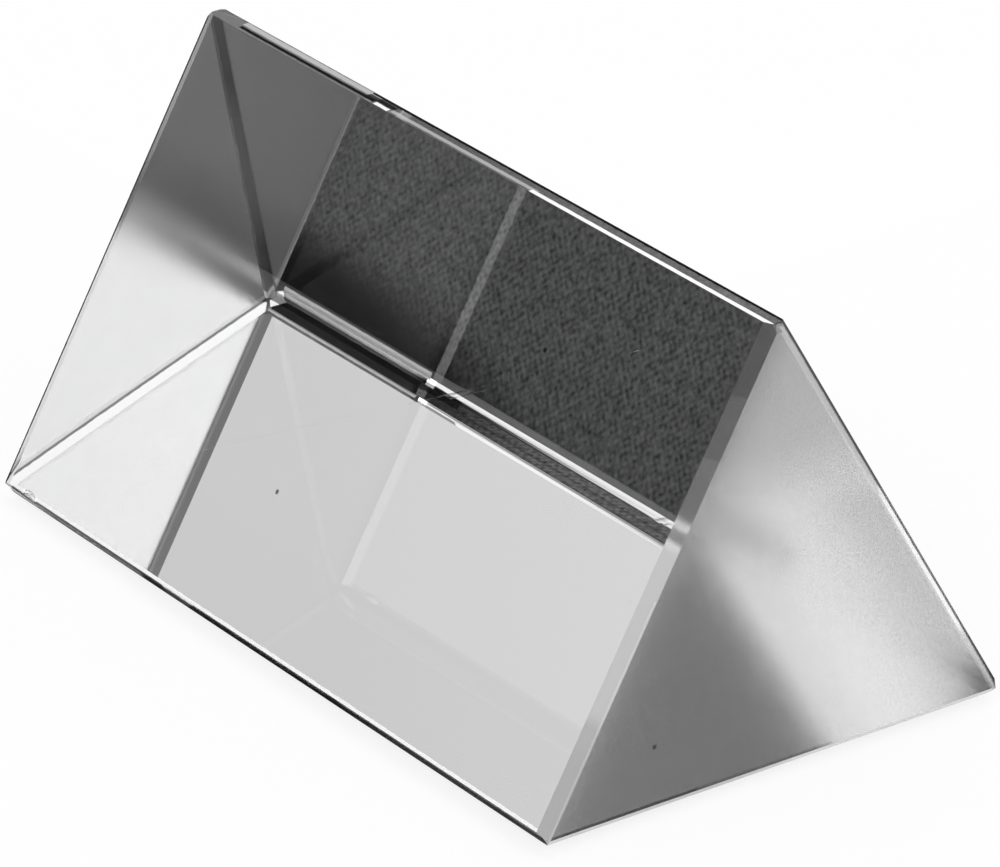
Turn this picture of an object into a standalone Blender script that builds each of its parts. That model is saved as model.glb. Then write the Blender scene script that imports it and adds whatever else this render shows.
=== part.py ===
"""Equilateral glass prism for optics work, 35 mm on a side and 60 mm long.

One solid block of optical glass. Its three long faces are polished and its two
triangular ends are left finely ground. All nine edges carry a narrow ground
bevel, the usual guard against chipping, so every corner ends in small flats.
The bevels round the ends are ground by hand. Those at the front face lie
flatter than the rest, and a short one crosses the ridge at each end.
One shallow shell-shaped chip is missing from the front foot edge near one end.

Frame: metres, +Z up. The prism lies on one long face with its axis along X.
The origin is at the middle of the footprint. The front face looks towards -Y
and the ridge is at the top.
"""
import math

import bmesh
import bpy
from mathutils import Vector

# Driving dimensions, in metres

SIDE = 0.0350           # width of a long face, measured to the sharp corners
LENGTH = 0.0600         # from ground end to ground end
RIDGE_BEVEL = 0.00115   # taken off each face at the top edge
FRONT_BEVEL = 0.00100   # taken off each face at the front foot edge
BACK_BEVEL = 0.00090    # taken off each face at the back foot edge

FRONT_END_RUN = 0.00100     # the flat bevel at the front face's ends: along the face
FRONT_END_DROP = 0.00040    # and down the end
BACK_END_BEVEL = 0.00065    # taken off the back face and the end
BOTTOM_END_BEVEL = 0.00060  # taken off the bottom face and the end
RIDGE_END_BEVEL = 0.00045   # taken off the ridge's flat and the end

CHIP_FROM_END = 0.0033  # from the far end to the middle of the chip
CHIP_LENGTH = 0.0018    # along the front foot edge
CHIP_WIDTH = 0.0011     # across the edge, up the front face
CHIP_DEPTH = 0.00025    # deepest point below the surface

# Finish of the two kinds of surface

GLASS_COLOUR = (0.93, 0.94, 0.94, 1.0)
GROUND_COLOUR = (0.80, 0.81, 0.81, 1.0)
POLISHED_ROUGHNESS = 0.02
GROUND_ROUGHNESS = 0.45
GLASS_IOR = 1.517

# The section is an equilateral triangle, so every long edge is 60 degrees

SECTION_ANGLE = math.radians(60)
HEIGHT = SIDE * math.sin(SECTION_ANGLE)

RIDGE = Vector((0.0, 0.0, HEIGHT))
RIDGE_FLAT = RIDGE - Vector((0.0, 0.0, RIDGE_BEVEL * math.sin(SECTION_ANGLE)))
FRONT_FOOT = Vector((0.0, -SIDE / 2, 0.0))
BACK_FOOT = Vector((0.0, SIDE / 2, 0.0))

FRONT_NORMAL = Vector((0.0, -math.sin(SECTION_ANGLE), math.cos(SECTION_ANGLE)))
BACK_NORMAL = Vector((0.0, math.sin(SECTION_ANGLE), math.cos(SECTION_ANGLE)))
BOTTOM_NORMAL = Vector((0.0, 0.0, -1.0))
RIDGE_NORMAL = Vector((0.0, 0.0, 1.0))

UP_FRONT_FACE = (RIDGE - FRONT_FOOT).normalized()


def clear_scene():
    """Remove the objects of the scene, so that only the prism is left."""
    for item in list(bpy.data.objects):
        bpy.data.objects.remove(item, do_unlink=True)


def glass_material(name, colour, roughness):
    """A clear glass with the given tint and surface roughness."""
    material = bpy.data.materials.new(name)
    material.use_nodes = True
    shader = material.node_tree.nodes["Principled BSDF"]
    shader.inputs["Base Color"].default_value = colour
    shader.inputs["Roughness"].default_value = roughness
    shader.inputs["Metallic"].default_value = 0.0
    shader.inputs["IOR"].default_value = GLASS_IOR
    shader.inputs["Transmission Weight"].default_value = 1.0
    return material


def sawn_blank(bm):
    """The blank: the triangular section, extruded along X over the full length."""
    end = Vector((-LENGTH / 2, 0.0, 0.0))
    corners = [bm.verts.new(end + corner) for corner in (FRONT_FOOT, BACK_FOOT, RIDGE)]
    section = bm.faces.new(corners)
    extruded = bmesh.ops.extrude_face_region(bm, geom=[section])
    far_corners = [item for item in extruded["geom"] if isinstance(item, bmesh.types.BMVert)]
    bmesh.ops.translate(bm, verts=far_corners, vec=(LENGTH, 0.0, 0.0))
    bmesh.ops.recalc_face_normals(bm, faces=bm.faces)


def grind_bevel(bm, edge_point, normal_a, normal_b, leg_a, leg_b):
    """Grind one flat across the edge where two faces meet.

    leg_a and leg_b say how far the flat reaches back from the sharp edge along each face.
    """
    turn = normal_a.dot(normal_b)
    back_along_a = (normal_a * turn - normal_b).normalized()
    back_along_b = (normal_b * turn - normal_a).normalized()
    start = edge_point + back_along_a * leg_a
    stop = edge_point + back_along_b * leg_b
    flat_normal = (stop - start).cross(normal_a.cross(normal_b)).normalized()
    ground = bmesh.ops.bisect_plane(
        bm,
        geom=bm.verts[:] + bm.edges[:] + bm.faces[:],
        plane_co=start,
        plane_no=flat_normal,
        clear_outer=True,
    )
    rim = [item for item in ground["geom_cut"] if isinstance(item, bmesh.types.BMEdge)]
    bmesh.ops.contextual_create(bm, geom=rim)


def bevel_long_edges(bm):
    """The ridge and the two foot edges, each with its own width."""
    grind_bevel(bm, RIDGE, FRONT_NORMAL, BACK_NORMAL, RIDGE_BEVEL, RIDGE_BEVEL)
    grind_bevel(bm, FRONT_FOOT, FRONT_NORMAL, BOTTOM_NORMAL, FRONT_BEVEL, FRONT_BEVEL)
    grind_bevel(bm, BACK_FOOT, BACK_NORMAL, BOTTOM_NORMAL, BACK_BEVEL, BACK_BEVEL)


def bevel_ends(bm):
    """The bevels round each ground end: along the three long faces, and across the ridge."""
    faces = (
        (FRONT_NORMAL, FRONT_FOOT, FRONT_END_RUN, FRONT_END_DROP),
        (BACK_NORMAL, BACK_FOOT, BACK_END_BEVEL, BACK_END_BEVEL),
        (BOTTOM_NORMAL, FRONT_FOOT, BOTTOM_END_BEVEL, BOTTOM_END_BEVEL),
        (RIDGE_NORMAL, RIDGE_FLAT, RIDGE_END_BEVEL, RIDGE_END_BEVEL),
    )
    for side in (-1, 1):
        end_normal = Vector((side, 0.0, 0.0))
        for face_normal, corner, run, drop in faces:
            edge_point = corner + end_normal * LENGTH / 2
            grind_bevel(bm, edge_point, face_normal, end_normal, run, drop)


def chip_scoop():
    """The hollow of the chip: a shallow cap of a stretched ball, centred on the bevel's upper line.

    A ball of radius r sunk by d leaves a dish of length 2 * sqrt(2 * r * d - d * d).
    """
    radius = (CHIP_LENGTH ** 2 / 4 + CHIP_DEPTH ** 2) / (2 * CHIP_DEPTH)
    bevel_line = FRONT_FOOT + UP_FRONT_FACE * FRONT_BEVEL
    middle = bevel_line + Vector((CHIP_FROM_END - LENGTH / 2, 0.0, 0.0))
    outward = (FRONT_NORMAL * 2 + BOTTOM_NORMAL).normalized()

    bm = bmesh.new()
    bmesh.ops.create_icosphere(bm, subdivisions=4, radius=radius)
    bmesh.ops.scale(bm, vec=(1.0, CHIP_WIDTH / CHIP_LENGTH, 1.0), verts=bm.verts)
    turn = outward.to_track_quat("Z", "Y").to_matrix()
    bmesh.ops.rotate(bm, cent=(0.0, 0.0, 0.0), matrix=turn, verts=bm.verts)
    bmesh.ops.translate(bm, vec=middle + outward * (radius - CHIP_DEPTH), verts=bm.verts)

    mesh = bpy.data.meshes.new("chip_scoop")
    bm.to_mesh(mesh)
    bm.free()
    scoop = bpy.data.objects.new("chip_scoop", mesh)
    scoop.hide_render = True
    scoop.display_type = "WIRE"
    bpy.context.collection.objects.link(scoop)
    return scoop


def mark_finishes(bm):
    """Give the three long faces the polish, and every other flat the ground finish."""
    polished, ground = 0, 1
    for face in bm.faces:
        face.normal_update()
        long_face = any(
            face.normal.dot(normal) > math.cos(math.radians(1))
            for normal in (FRONT_NORMAL, BACK_NORMAL, BOTTOM_NORMAL)
        )
        face.material_index = polished if long_face else ground


def build_prism():
    """Make the prism as one named object."""
    bm = bmesh.new()
    sawn_blank(bm)
    bevel_long_edges(bm)
    bevel_ends(bm)
    bmesh.ops.recalc_face_normals(bm, faces=bm.faces)
    mark_finishes(bm)

    mesh = bpy.data.meshes.new("glass_prism")
    bm.to_mesh(mesh)
    bm.free()
    mesh.materials.append(glass_material("polished_glass", GLASS_COLOUR, POLISHED_ROUGHNESS))
    mesh.materials.append(glass_material("ground_glass", GROUND_COLOUR, GROUND_ROUGHNESS))

    prism = bpy.data.objects.new("glass_prism", mesh)
    bpy.context.collection.objects.link(prism)
    return prism


def cut(body, cutter):
    """Take the cutter's shape out of the body."""
    modifier = body.modifiers.new(cutter.name, "BOOLEAN")
    modifier.operation = "DIFFERENCE"
    modifier.solver = "EXACT"
    modifier.object = cutter


clear_scene()
glass_prism = build_prism()
cut(glass_prism, chip_scoop())
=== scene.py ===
"""The look of the glass prism: clear polished faces, finely ground ends and bevels.

Metres, +Z up, in the part's own frame: the prism's axis is along X, its front
face looks towards -Y and it rests on z = 0.
"""

import math

import bmesh
import bpy
from mathutils import Matrix, Vector


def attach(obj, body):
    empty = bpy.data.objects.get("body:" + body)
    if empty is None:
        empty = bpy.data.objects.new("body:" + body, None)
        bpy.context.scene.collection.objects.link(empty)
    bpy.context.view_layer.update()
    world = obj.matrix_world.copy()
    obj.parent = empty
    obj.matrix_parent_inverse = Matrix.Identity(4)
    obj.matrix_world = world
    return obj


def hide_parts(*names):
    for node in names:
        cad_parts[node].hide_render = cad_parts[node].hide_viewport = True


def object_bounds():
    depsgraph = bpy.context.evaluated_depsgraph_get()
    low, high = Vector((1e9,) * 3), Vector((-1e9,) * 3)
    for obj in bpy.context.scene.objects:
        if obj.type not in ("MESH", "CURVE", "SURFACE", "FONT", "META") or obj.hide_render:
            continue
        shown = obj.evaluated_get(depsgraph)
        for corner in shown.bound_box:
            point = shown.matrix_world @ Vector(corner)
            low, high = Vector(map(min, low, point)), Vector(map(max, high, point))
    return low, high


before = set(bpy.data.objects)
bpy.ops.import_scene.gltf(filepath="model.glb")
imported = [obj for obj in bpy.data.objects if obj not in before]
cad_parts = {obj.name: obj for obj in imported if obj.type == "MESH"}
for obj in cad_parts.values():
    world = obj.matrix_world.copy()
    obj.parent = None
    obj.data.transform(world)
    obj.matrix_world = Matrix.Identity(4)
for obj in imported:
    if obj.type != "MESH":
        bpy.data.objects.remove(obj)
cad_low, cad_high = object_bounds()

# Camera, solved from the outline of the prism

VIEW_AZIMUTH = math.radians(54.84)     # round from the front, towards the near end
VIEW_ELEVATION = math.radians(25.50)
VIEW_ROLL = math.radians(-0.455)
CAMERA_DISTANCE = 0.48004
AIM = Vector((0.000875, 0.000434, 0.011024))
LENS_MM = 279.24
SENSOR_MM = 36.0

# Shape of the prism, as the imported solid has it

SECTION_ANGLE = math.radians(60)
SIDE = 0.035
HEIGHT = SIDE * math.sin(SECTION_ANGLE)
FRONT_NORMAL = Vector((0.0, -math.sin(SECTION_ANGLE), math.cos(SECTION_ANGLE)))
BACK_NORMAL = Vector((0.0, math.sin(SECTION_ANGLE), math.cos(SECTION_ANGLE)))
BOTTOM_NORMAL = Vector((0.0, 0.0, -1.0))
LONG_FACES = (FRONT_NORMAL, BACK_NORMAL, BOTTOM_NORMAL)
FACE_OFFSET = HEIGHT * math.cos(SECTION_ANGLE)    # of the front and back faces, from the origin
SAME_AS_LONG_FACE = 0.9998  # cosines above which a face counts as one of these
SAME_AS_END = 0.999
SAME_AS_RIDGE = 0.9
LEVEL_TILT = 0.01           # the long bevels turn towards the ends by no more than this
CHIP_TOP = 0.0012           # the chip in the front foot edge lies below this height,
CHIP_BACK = -0.016          # in front of this line,
CHIP_TILT = 0.22            # and its faces turn towards the ends by less than this

# Glass

CROWN_IOR = 1.517
CLEAR_TINT = (0.985, 0.987, 0.987, 1.0)
GROUND_TINT = (0.95, 0.95, 0.95, 1.0)
# painted highlights: the white of the glints along the edges
GLINT_WHITE = (0.98, 0.98, 0.98, 1.0)
# painted shade along the edges, and a few real specks of dirt: their black
DIRT_AND_SHADE_BLACK = (0.01, 0.01, 0.01, 1.0)
GLINT_THROUGH = 0.15            # share of the light that comes through the painted highlights and not off them
FAR_END_ROUGHNESS = 0.21
NEAR_END_ROUGHNESS = 0.23
BLOTCHES = 0.1              # how far the ends' roughness goes up and down
BLOTCH_SCALE = 900.0
END_GRAIN = 0.25
GRAIN_SCALE = 9000.0
GRAIN_HEIGHT = 0.00001
FAR_SPECKS = 0.4            # how far the specks change the ends' tint
NEAR_SPECKS = 1.1
SPECK_SCALE = 5000.0
FAR_FROST = 0.12            # how much of the light the far end scatters all ways
NEAR_FROST = 0.04           # and the specks on the near end
FROST_SPECKS = (0.35, 0.65)           # a speck has no frost and all of it at these strengths
BACK_EDGE_SHADE = 0.52      # how much darker the painted shade makes the near end along its back edge,
BACK_EDGE_DEPTH = (0.001, 0.0075)     # full and gone at these depths under the back face
BACK_EDGE_TOP = (0.0155, 0.0205)      # and at these heights

# Marks along the edges: the white ones are painted highlights, the black ones painted shade, except a
# few black specks of real dirt.
# Each has its share, and the box it lies in, in millimetres. Besides X, Y and Z, "front" and
# "back" are depths under the front and back face.

MM = 0.001
RAGGED = 0.00004            # how far the outline of a mark wanders off its box
RAGGED_SCALE = 1500.0
# painted highlights: the white lines along both foot bevels; painted shade: the dark line along the
# back foot; the two small specks on the front face are real dirt
POLISHED_MARKS = (
    ("glints", 1.0, {"Y": (-18, 0), "Z": (0.5, 1.06)}),
    ("glints", 0.9, {"X": (-31, -13), "Y": (16.25, 16.7), "Z": (-1, 0.1)}),
    ("dirt_and_shade", 0.4, {"X": (-31, -13), "Y": (16.46, 16.60), "Z": (-1, 0.1)}),
    ("dirt_and_shade", 0.8, {"Y": (-18, 0), "X": (-4.75, -4.50), "Z": (8.45, 8.70)}),
    ("dirt_and_shade", 0.7, {"Y": (-18, 0), "X": (12.52, 12.80), "Z": (22.38, 22.60)}),
)
# painted highlights: the white lines along the near end's back edge and the far end's foot; painted
# shade: the dark line along the near end's foot; the speck on the near end is real dirt
END_MARKS = (
    ("glints", 0.2, {"X": (29, 31), "back": (0.65, 0.80)}),
    ("glints", 0.2, {"X": (-31, -29), "Z": (0.5, 0.95)}),
    ("dirt_and_shade", 0.6, {"X": (29, 31), "Y": (-17, -6), "Z": (0.6, 0.80)}),
    ("dirt_and_shade", 0.35, {"X": (29, 31), "Y": (-6, 4), "Z": (0.6, 0.80)}),
    ("dirt_and_shade", 0.7, {"X": (29, 31), "Y": (-9.30, -9.00), "Z": (4.35, 4.62)}),
)
# painted shade: the black and grey lines on the end bevels, and the near front bevel darker towards its
# top; painted highlights: the lighter lower part of that bevel, and the white on the near back and
# bottom bevels
END_BEVEL_MARKS = (
    ("dirt_and_shade", 1.0, {"X": (-31, -29.75), "front": (-1, 0.41)}),
    ("dirt_and_shade", 0.13, {"X": (28, 31), "front": (-1, 0.41), "Z": (18, 31)}),
    ("dirt_and_shade", 0.23, {"X": (28, 31), "front": (-1, 0.41), "Z": (21.8, 31)}),
    ("dirt_and_shade", 0.25, {"X": (28, 31), "front": (-1, 0.41), "Z": (25.3, 31)}),
    ("dirt_and_shade", 0.8, {"X": (-31, -29.3), "Z": (0.46, 0.62)}),
    ("dirt_and_shade", 0.35, {"X": (-29.84, -29.3), "back": (-1, 0.66)}),
    ("glints", 0.12, {"X": (29.84, 31), "front": (-1, 0.41), "Z": (-1, 14)}),
    ("dirt_and_shade", 0.8, {"X": (29.3, 29.6), "back": (-1, 0.66)}),
    ("glints", 0.2, {"X": (29.72, 31), "back": (-1, 0.66)}),
    ("glints", 0.7, {"X": (29.3, 31), "Z": (-1, 0.6), "front": (0.41, 40), "back": (0.66, 40)}),
)
# painted shade: the dark lines along the front foot bevel
FRONT_FOOT_MARKS = (
    ("dirt_and_shade", 0.9, {"X": (-14, 29.5), "Z": (-1, 0.64)}),
    ("dirt_and_shade", 0.5, {"X": (-31, -14), "Z": (0.52, 0.66)}),
    ("dirt_and_shade", 0.7, {"X": (-31, -14), "Z": (-1, 0.14)}),
)
# painted shade: the dark band along the far part of the back foot bevel, and the thin line along the
# rest
BACK_FOOT_MARKS = (
    ("dirt_and_shade", 0.75, {"X": (-31, -9), "Z": (0.44, 1)}),
    ("dirt_and_shade", 0.25, {"X": (-9, 31), "Z": (0.30, 0.44)}),
)
# painted highlights: the white lines along the ridge flat's edges; painted shade: the black lines along
# them
RIDGE_MARKS = (
    ("glints", 0.40, {"X": (-26.6, -11.4), "Y": (0.06, 0.60)}),
    ("dirt_and_shade", 1.0, {"X": (-26.4, -11.4), "Y": (-0.38, -0.10)}),
    ("glints", 1.0, {"X": (-11.2, -9.7), "Y": (-0.52, -0.20)}),
    ("dirt_and_shade", 0.9, {"X": (-12.5, -9.5), "Y": (-0.12, 0.28)}),
    ("glints", 0.35, {"X": (-9.5, 6), "Y": (-0.42, -0.10)}),
    ("glints", 1.0, {"X": (5.5, 29.6), "Y": (-0.60, -0.24)}),
    ("dirt_and_shade", 1.0, {"X": (-12.5, 29.8), "Y": (0.34, 0.60)}),
    ("dirt_and_shade", 0.9, {"X": (-30, -12.5), "Y": (0.50, 0.60)}),
)
BEVELS = {                  # roughness, grain and marks
    "end_bevels": (0.12, 0.12, END_BEVEL_MARKS),
    "ridge_flat": (0.03, 0.05, RIDGE_MARKS),
    "front_foot_bevel": (0.03, 0.03, FRONT_FOOT_MARKS),
    "back_foot_bevel": (0.0, 0.0, BACK_FOOT_MARKS),
}

# Studio

TENT_LINE = Vector((0.3, 0.9, 0.2)).normalized()
TENT_STOPS = (              # grey along the line, from the front left below to the back right above
    (0.0, 0.05), (0.14, 0.06), (0.35, 0.20), (0.50, 0.54), (0.66, 0.60), (0.88, 1.03),
)
TENT_PANELS = (             # direction, inner and outer angle in degrees, grey
    ((-0.72, -0.65, 0.12), 24, 50, 1.0),      # the bright side, to the left of the front
    ((-0.52, -0.76, 0.39), 4, 13, 1.9),       # its brightest place
    ((-0.37, 0.74, 0.57), 6, 15, 0.18),       # a gap behind
)

# Narrow bars low in the tent, which the front face and the back foot bevel mirror as fine lines:
# lower and upper edge in degrees with their blur, left and right edge with the left one's blur,
# as the run aside over the run forward, and grey.

BAR_RIGHT_BLUR = 0.004
BAR_FORWARD = 0.2           # the bars lie only where the direction runs further forward than this
TENT_BARS = (
    ((20.58, 23.2, 0.01), (-1.262, -1.10, 0.006), 0.02),
    ((20.60, 23.2, 0.20), (-1.46, -1.10, 0.100), 0.02),
    ((20.58, 23.2, 0.01), (1.10, 1.32, 0.004), 0.02),
    ((20.445, 20.58, 0.01), (1.10, 1.32, 0.004), 1.3),
    ((20.23, 20.445, 0.01), (1.10, 1.32, 0.004), 0.02),
    ((20.23, 20.445, 0.01), (-1.25, -1.10, 0.004), 0.02),
)

# Table and cloth

TABLE_SIZE = 3.0
TABLE_DROP = 0.0006         # the table lies this far under the glass
TABLE_GREY = (0.86, 0.86, 0.86, 1.0)
TABLE_LIFT = 0.85           # how far the table is lifted to white where it is the background
CLOTH_DROP = 0.0001         # the dark cloth lies this far under the glass
CLOTH_INSET = 0.0006        # how far the small cloth stays inside the outline
CLOTH_NEAR_INSET = 0.0012   # and at the near end
CLOTH_REACH = 0.16          # how far the rest of the cloth reaches
CLOTH_GAP = (-0.0310, -0.0302)    # a gap between its two pieces, past the far end
THREAD_PITCH = 0.00062      # of the cloth's weave
CLOTH_TONE = 0.122
WEAVE_TONE = 0.026          # how far the weave lightens and darkens it
UNEVEN_TONE = 0.28          # and the uneven yarn
YARN_SCALE = 2600.0
CLOTH_SHADOW = (0.0028, 0.0072)   # the shadow at the far end of the back foot, full and gone
SHADOW_STRETCH = 4.5        # it is this much longer along the prism than across it
SHADOW_LIGHT = 0.01         # what light is left in it

LAMPS = (                   # name, direction, distance, size and radiance
    ("overhead_lamp", (0.05, 0.10, 1.0), 1.5, 1.2, 1.8),
    ("key_lamp", (0.45, -0.60, 0.66), 1.4, 0.5, 9.0),
)


class Value:
    """A shader socket that can be written in plain sums."""

    def __init__(self, tree, socket):
        self.tree = tree
        self.socket = socket

    def _math(self, operation, *terms):
        return node(self.tree, "ShaderNodeMath", {"operation": operation}, dict(enumerate(terms)))

    def __add__(self, other):
        return self._math("ADD", self, other)

    __radd__ = __add__

    def __sub__(self, other):
        return self._math("SUBTRACT", self, other)

    def __rsub__(self, other):
        return self._math("SUBTRACT", other, self)

    def __mul__(self, other):
        return self._math("MULTIPLY", self, other)

    __rmul__ = __mul__

    def __truediv__(self, other):
        return self._math("DIVIDE", self, other)

    def __lt__(self, other):
        return self._math("LESS_THAN", self, other)

    def __gt__(self, other):
        return self._math("GREATER_THAN", self, other)


def node(tree, kind, settings=None, inputs=None, output=0):
    """Add one node: its settings first, then the values or links of its sockets."""
    made = tree.nodes.new(kind)
    for name, value in (settings or {}).items():
        if name == "stops":
            set_stops(made.color_ramp, value)
        else:
            setattr(made, name, value)
    for name, value in (inputs or {}).items():
        if isinstance(value, Value):
            tree.links.new(value.socket, made.inputs[name])
        else:
            made.inputs[name].default_value = value
    return Value(tree, made.outputs[output]) if made.outputs else made


def set_stops(ramp, stops):
    """Give a colour ramp its stops, each a place and a grey."""
    while len(ramp.elements) < len(stops):
        ramp.elements.new(1.0)
    for element, (place, grey) in zip(ramp.elements, stops):
        element.position = place
        element.color = (grey, grey, grey, 1.0)


def new_material(name):
    """An empty node material, with its tree."""
    material = bpy.data.materials.new(name)
    material.use_nodes = True
    material.node_tree.nodes.clear()
    return material, material.node_tree


def finish_material(tree, shader):
    """Join the shader to the material's output."""
    node(tree, "ShaderNodeOutputMaterial", {}, {"Surface": shader})


def object_place(tree):
    """The place on the piece, in metres."""
    return node(tree, "ShaderNodeTexCoord", {}, {}, "Object")


def part_of(tree, vector, axis):
    """One part of a vector: X, Y or Z."""
    return node(tree, "ShaderNodeSeparateXYZ", {}, {0: vector}, axis)


def dot(tree, vector, fixed):
    """The dot product of a vector with a fixed one."""
    return node(tree, "ShaderNodeVectorMath", {"operation": "DOT_PRODUCT"}, {
        0: vector, 1: fixed,
    }, "Value")


def smooth_step(tree, value, start, stop):
    """A soft step from 0 at start to 1 at stop."""
    return node(tree, "ShaderNodeMapRange", {"interpolation_type": "SMOOTHSTEP"}, {
        "Value": value, "From Min": start, "From Max": stop,
    })


def mix(tree, share, under, over):
    """One shader over another, by a share from 0 to 1."""
    return node(tree, "ShaderNodeMixShader", {}, {0: share, 1: under, 2: over})


def noise(tree, place, scale, detail):
    """Plain noise, from 0 to 1."""
    return node(tree, "ShaderNodeTexNoise", {}, {"Vector": place, "Scale": scale, "Detail": detail})


def painted_glints(tree):
    """Painted highlights for the glints along the edges: a white that glows in any light."""
    lit = node(tree, "ShaderNodeBsdfDiffuse", {}, {"Color": GLINT_WHITE})
    through = node(tree, "ShaderNodeBsdfTranslucent", {}, {"Color": GLINT_WHITE})
    return mix(tree, GLINT_THROUGH, lit, through)


def dirt_and_shade_black(tree):
    """Black, for painted shade along the edges and for a few real specks of grime."""
    return node(tree, "ShaderNodeBsdfDiffuse", {}, {"Color": DIRT_AND_SHADE_BLACK})


def crown_glass(tree, tint, roughness, bump=None):
    """Crown glass of the given tint and polish."""
    inputs = {
        "Base Color": tint,
        "Roughness": roughness,
        "IOR": CROWN_IOR,
        "Transmission Weight": 1.0,
    }
    if bump:
        inputs["Normal"] = bump
    return node(tree, "ShaderNodeBsdfPrincipled", {}, inputs)


def grain_bump(tree, place, strength):
    """The fine grain that the grinding leaves."""
    grain = node(tree, "ShaderNodeTexNoise", {}, {
        "Vector": place, "Scale": GRAIN_SCALE, "Detail": 3.0, "Roughness": 0.6,
    })
    return node(tree, "ShaderNodeBump", {}, {
        "Strength": strength, "Distance": GRAIN_HEIGHT, "Height": grain,
    })


def with_marks(tree, skin, place, marks):
    """The skin with its marks laid on, each with a slightly ragged outline."""
    wander = node(tree, "ShaderNodeTexNoise", {}, {
        "Vector": place, "Scale": RAGGED_SCALE, "Detail": 2.0,
    }, "Color")
    shift = node(tree, "ShaderNodeVectorMath", {"operation": "MULTIPLY_ADD"}, {
        0: wander, 1: (2 * RAGGED,) * 3, 2: (-RAGGED,) * 3,
    })
    moved = node(tree, "ShaderNodeVectorMath", {}, {0: place, 1: shift})
    measures = {axis: part_of(tree, moved, axis) for axis in "XYZ"}
    measures["front"] = FACE_OFFSET - dot(tree, moved, FRONT_NORMAL)
    measures["back"] = FACE_OFFSET - dot(tree, moved, BACK_NORMAL)
    finishes = {"glints": painted_glints(tree), "dirt_and_shade": dirt_and_shade_black(tree)}
    for kind, share, box in marks:
        for measure, (low, high) in box.items():
            share = share * (measures[measure] > low * MM) * (measures[measure] < high * MM)
        skin = mix(tree, share, skin, finishes[kind])
    return skin


def polished_glass():
    """Clear crown glass, with painted highlights and painted shade along the foot bevels, and two
    specks of grime.
    """
    material, tree = new_material("polished_glass")
    skin = crown_glass(tree, CLEAR_TINT, 0.0)
    finish_material(tree, with_marks(tree, skin, object_place(tree), POLISHED_MARKS))
    return material


def ground_ends():
    """The finely ground ends: a satin skin with blotches and specks.

    The near end has painted shade along its back edge, and the far end is a little frosted.
    """
    material, tree = new_material("ground_ends")
    place = object_place(tree)
    near = part_of(tree, place, "X") > 0
    blotches = noise(tree, place, BLOTCH_SCALE, 3.0)
    specks = noise(tree, place, SPECK_SCALE, 2.0)

    roughness = FAR_END_ROUGHNESS + near * (NEAR_END_ROUGHNESS - FAR_END_ROUGHNESS)
    roughness = roughness + (blotches - 0.5) * BLOTCHES

    # painted shade along the near end's back edge, darkening its tint
    depth = FACE_OFFSET - dot(tree, place, BACK_NORMAL)
    shade = (1 - smooth_step(tree, depth, *BACK_EDGE_DEPTH)) * near
    shade = shade * (1 - smooth_step(tree, part_of(tree, place, "Z"), *BACK_EDGE_TOP))
    speckled = (specks - 0.5) * (FAR_SPECKS + near * (NEAR_SPECKS - FAR_SPECKS)) + GROUND_TINT[0]
    grey = (1 - shade * BACK_EDGE_SHADE) * speckled
    tint = node(tree, "ShaderNodeCombineColor", {}, {0: grey, 1: grey, 2: grey})

    glass = crown_glass(tree, tint, roughness, grain_bump(tree, place, END_GRAIN))
    frost = node(tree, "ShaderNodeBsdfTranslucent", {}, {"Color": GROUND_TINT})
    near_frost = near * smooth_step(tree, specks, *FROST_SPECKS) * NEAR_FROST
    skin = mix(tree, (1 - near) * FAR_FROST + near_frost, glass, frost)
    finish_material(tree, with_marks(tree, skin, place, END_MARKS))
    return material


def ground_bevel(name, roughness, grain, marks):
    """A bevel ground to the given roughness and grain, with its marks."""
    material, tree = new_material(name)
    place = object_place(tree)
    bump = grain_bump(tree, place, grain) if grain else None
    skin = crown_glass(tree, GROUND_TINT, roughness, bump)
    finish_material(tree, with_marks(tree, skin, place, marks))
    return material


def finish_of(face):
    """Which finish a face of the prism has, by the way it looks and where it lies."""
    normal = face.normal
    if any(normal.dot(long_face) > SAME_AS_LONG_FACE for long_face in LONG_FACES):
        return "polished_glass"
    if abs(normal.x) > SAME_AS_END:
        return "ground_ends"
    middle = face.calc_center_median()
    if middle.z < CHIP_TOP and middle.y < CHIP_BACK and abs(normal.x) < CHIP_TILT:
        return "front_foot_bevel"
    if abs(normal.x) > LEVEL_TILT:
        return "end_bevels"
    if normal.z > SAME_AS_RIDGE:
        return "ridge_flat"
    return "back_foot_bevel" if normal.y > 0 else "front_foot_bevel"


def dress_prism():
    """The glass itself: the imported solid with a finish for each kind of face."""
    finishes = {"polished_glass": polished_glass(), "ground_ends": ground_ends()}
    for name, (roughness, grain, marks) in BEVELS.items():
        finishes[name] = ground_bevel(name, roughness, grain, marks)
    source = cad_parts["glass_prism"]
    bm = bmesh.new()
    bm.from_mesh(source.data)
    bmesh.ops.remove_doubles(bm, verts=bm.verts, dist=0.000001)
    bmesh.ops.recalc_face_normals(bm, faces=bm.faces)
    order = list(finishes)
    for face in bm.faces:
        face.material_index = order.index(finish_of(face))
    mesh = bpy.data.meshes.new("prism")
    bm.to_mesh(mesh)
    bm.free()
    for material in finishes.values():
        mesh.materials.append(material)
    prism = bpy.data.objects.new("prism", mesh)
    bpy.context.collection.objects.link(prism)
    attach(prism, "root")
    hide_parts("glass_prism")
    return prism


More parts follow.
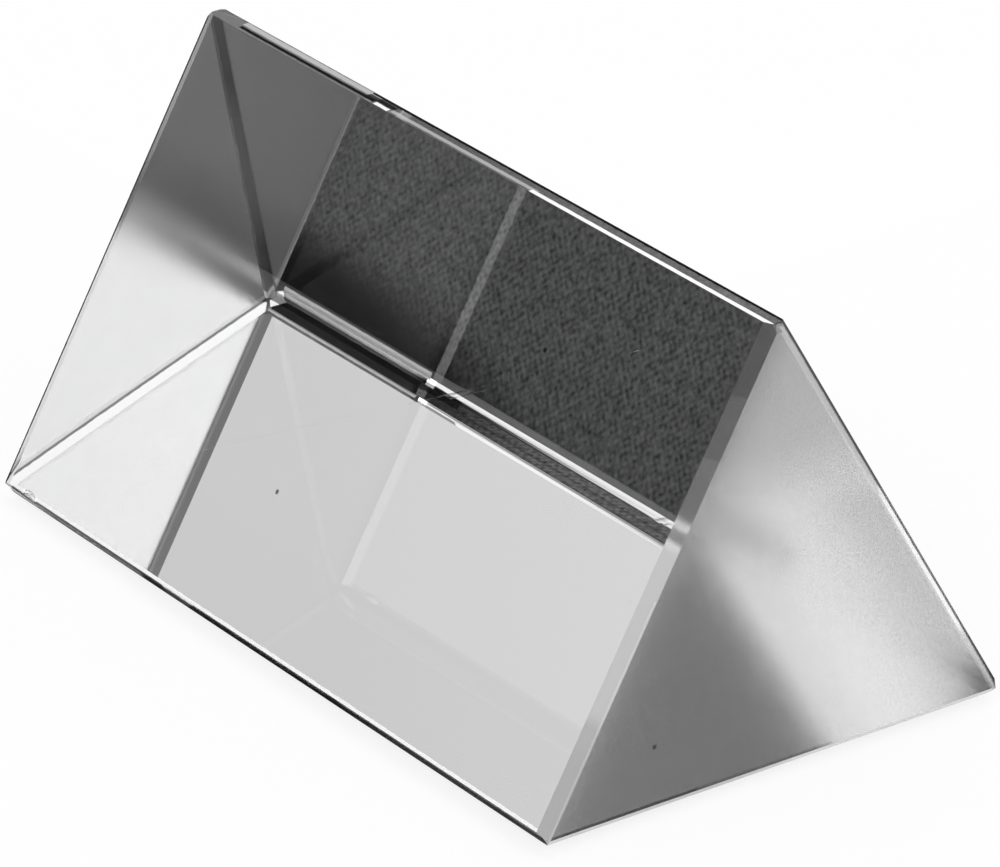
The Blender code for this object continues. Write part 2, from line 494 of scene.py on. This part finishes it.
def flat_sheet(name, low, high, height, material):
    """A level rectangle, for the table and the cloth."""
    bm = bmesh.new()
    bmesh.ops.create_grid(bm, x_segments=1, y_segments=1, size=0.5)
    bmesh.ops.scale(bm, vec=(high[0] - low[0], high[1] - low[1], 1.0), verts=bm.verts)
    middle = ((low[0] + high[0]) / 2, (low[1] + high[1]) / 2, height)
    bmesh.ops.translate(bm, vec=middle, verts=bm.verts)
    mesh = bpy.data.meshes.new(name)
    bm.to_mesh(mesh)
    bm.free()
    mesh.materials.append(material)
    sheet = bpy.data.objects.new(name, mesh)
    bpy.context.collection.objects.link(sheet)
    return sheet


def seen_directly(tree):
    """1 for the rays that see the background: from the camera, by a reflection or through the glass."""
    camera = node(tree, "ShaderNodeLightPath", {}, {}, "Is Camera Ray")
    glossy = node(tree, "ShaderNodeLightPath", {}, {}, "Is Glossy Ray")
    through = node(tree, "ShaderNodeLightPath", {}, {}, "Is Transmission Ray")
    return (camera + glossy + through) > 0.5


def pale_table():
    """A plain pale table, lifted towards white where it is the background."""
    material, tree = new_material("pale_table")
    paint = node(tree, "ShaderNodeBsdfPrincipled", {}, {"Base Color": TABLE_GREY, "Roughness": 0.7})
    white = node(tree, "ShaderNodeEmission", {}, {"Color": (1.0, 1.0, 1.0, 1.0), "Strength": 1.0})
    finish_material(tree, mix(tree, seen_directly(tree) * TABLE_LIFT, paint, white))
    half = TABLE_SIZE / 2
    return flat_sheet("table", (-half, -half), (half, half), -TABLE_DROP, material)


def cloth_material():
    """Dark woven cloth, darkest in the shadow under the far end of the back foot."""
    material, tree = new_material("dark_cloth")
    place = object_place(tree)
    along = part_of(tree, place, "X")
    across = part_of(tree, place, "Y")
    turn = 2 * math.pi / THREAD_PITCH
    warp = node(tree, "ShaderNodeMath", {"operation": "SINE"}, {0: along * turn})
    weft = node(tree, "ShaderNodeMath", {"operation": "SINE"}, {0: across * turn})
    uneven = noise(tree, place, YARN_SCALE, 2.0)
    tone = warp * weft * WEAVE_TONE + (uneven - 0.5) * UNEVEN_TONE + CLOTH_TONE

    away = node(tree, "ShaderNodeCombineXYZ", {}, {
        "X": (along - cad_low.x) / SHADOW_STRETCH, "Y": across - SIDE / 2,
    })
    from_corner = node(tree, "ShaderNodeVectorMath", {"operation": "LENGTH"}, {0: away}, "Value")
    light = smooth_step(tree, from_corner, *CLOTH_SHADOW) * (1 - SHADOW_LIGHT) + SHADOW_LIGHT
    shade = tone * light
    colour = node(tree, "ShaderNodeCombineColor", {}, {0: shade, 1: shade, 2: shade})
    shader = node(tree, "ShaderNodeBsdfPrincipled", {}, {
        "Base Color": colour, "Roughness": 0.9, "Specular IOR Level": 0.0,
    })
    finish_material(tree, shader)
    return material


def dark_cloths():
    """The dark cloth: a piece under the glass, and the rest of it that only the glass shows."""
    material = cloth_material()
    low = (cad_low.x + CLOTH_INSET, cad_low.y + CLOTH_INSET)
    high = (cad_high.x - CLOTH_NEAR_INSET, cad_high.y - CLOTH_INSET)
    flat_sheet("cloth", low, high, -CLOTH_DROP, material)

    level = -(CLOTH_DROP + TABLE_DROP) / 2
    gap_left, gap_right = CLOTH_GAP
    front = cad_low.y - CLOTH_REACH
    far_corner = (cad_low.x - CLOTH_REACH, front)
    near_corner = (cad_high.x + CLOTH_REACH, cad_high.y + CLOTH_REACH)
    right = flat_sheet("right_cloth", (gap_right, front), near_corner, level, material)
    left = flat_sheet("left_cloth", far_corner, (gap_left, cad_high.y), level, material)
    for sheet in (right, left):
        sheet.visible_camera = False
        sheet.visible_diffuse = False
        sheet.visible_shadow = False


def soft_spot(tree, direction, towards, inner, outer):
    """1 inside a cone round a direction, falling to 0 outside it. The angles are in degrees."""
    facing = dot(tree, direction, Vector(towards).normalized())
    return smooth_step(tree, facing, math.cos(math.radians(outer)), math.cos(math.radians(inner)))


def tent_bars(tree, direction, grey):
    """The tent's grey with its narrow bars laid over it."""
    forward = part_of(tree, direction, "Y") * -1
    rise = part_of(tree, direction, "Z") / forward
    aside = part_of(tree, direction, "X") / forward
    for (low, high, blur), (left, right, left_blur), level in TENT_BARS:
        angles = (low - blur, low + blur, high - blur, high + blur)
        edges = [math.tan(math.radians(angle)) for angle in angles]
        bar = (forward > BAR_FORWARD) * smooth_step(tree, rise, edges[0], edges[1])
        bar = bar * (1 - smooth_step(tree, rise, edges[2], edges[3]))
        bar = bar * smooth_step(tree, aside, left - left_blur, left + left_blur)
        bar = bar * (1 - smooth_step(tree, aside, right - BAR_RIGHT_BLUR, right + BAR_RIGHT_BLUR))
        grey = grey * (1 - bar) + bar * level
    return grey


def studio_world():
    """The tent round the table, as the glass shows it. The camera itself sees plain white."""
    world = bpy.data.worlds.new("studio")
    world.use_nodes = True
    tree = world.node_tree
    tree.nodes.clear()
    direction = node(tree, "ShaderNodeTexCoord", {}, {}, "Generated")
    along = dot(tree, direction, TENT_LINE)
    grey = node(tree, "ShaderNodeValToRGB", {"stops": TENT_STOPS}, {"Fac": along * 0.5 + 0.5})
    for towards, inner, outer, level in TENT_PANELS:
        spot = soft_spot(tree, direction, towards, inner, outer)
        grey = grey * (1 - spot) + spot * level
    grey = tent_bars(tree, direction, grey)
    seen = node(tree, "ShaderNodeLightPath", {}, {}, "Is Camera Ray")
    grey = grey * (1 - seen) + seen
    background = node(tree, "ShaderNodeBackground", {}, {"Color": grey, "Strength": 1.0})
    node(tree, "ShaderNodeOutputWorld", {}, {"Surface": background})
    bpy.context.scene.world = world


def soft_lamp(name, towards, distance, size, radiance):
    """A square soft lamp that shines at the prism."""
    data = bpy.data.lights.new(name, "AREA")
    data.shape = "SQUARE"
    data.size = size
    data.energy = radiance * math.pi * size * size
    lamp = bpy.data.objects.new(name, data)
    towards = Vector(towards).normalized()
    lamp.location = towards * distance
    lamp.rotation_euler = (-towards).to_track_quat("-Z", "Y").to_euler()
    bpy.context.collection.objects.link(lamp)
    return lamp


def picture_camera():
    """The camera at the picture's viewing angle."""
    back = Vector((
        math.sin(VIEW_AZIMUTH) * math.cos(VIEW_ELEVATION),
        -math.cos(VIEW_AZIMUTH) * math.cos(VIEW_ELEVATION),
        math.sin(VIEW_ELEVATION),
    ))
    data = bpy.data.cameras.new("picture_camera")
    data.lens = LENS_MM
    data.sensor_width = SENSOR_MM
    data.clip_start = 0.01
    data.clip_end = 100.0
    camera = bpy.data.objects.new("picture_camera", data)
    turn = (-back).to_track_quat("-Z", "Y").to_matrix() @ Matrix.Rotation(VIEW_ROLL, 3, "Z")
    camera.matrix_world = Matrix.Translation(AIM + back * CAMERA_DISTANCE) @ turn.to_4x4()
    bpy.context.collection.objects.link(camera)
    bpy.context.scene.camera = camera


bpy.context.scene.view_settings.view_transform = "Standard"
dress_prism()
pale_table()
dark_cloths()
studio_world()
for lamp in LAMPS:
    soft_lamp(*lamp)
picture_camera()
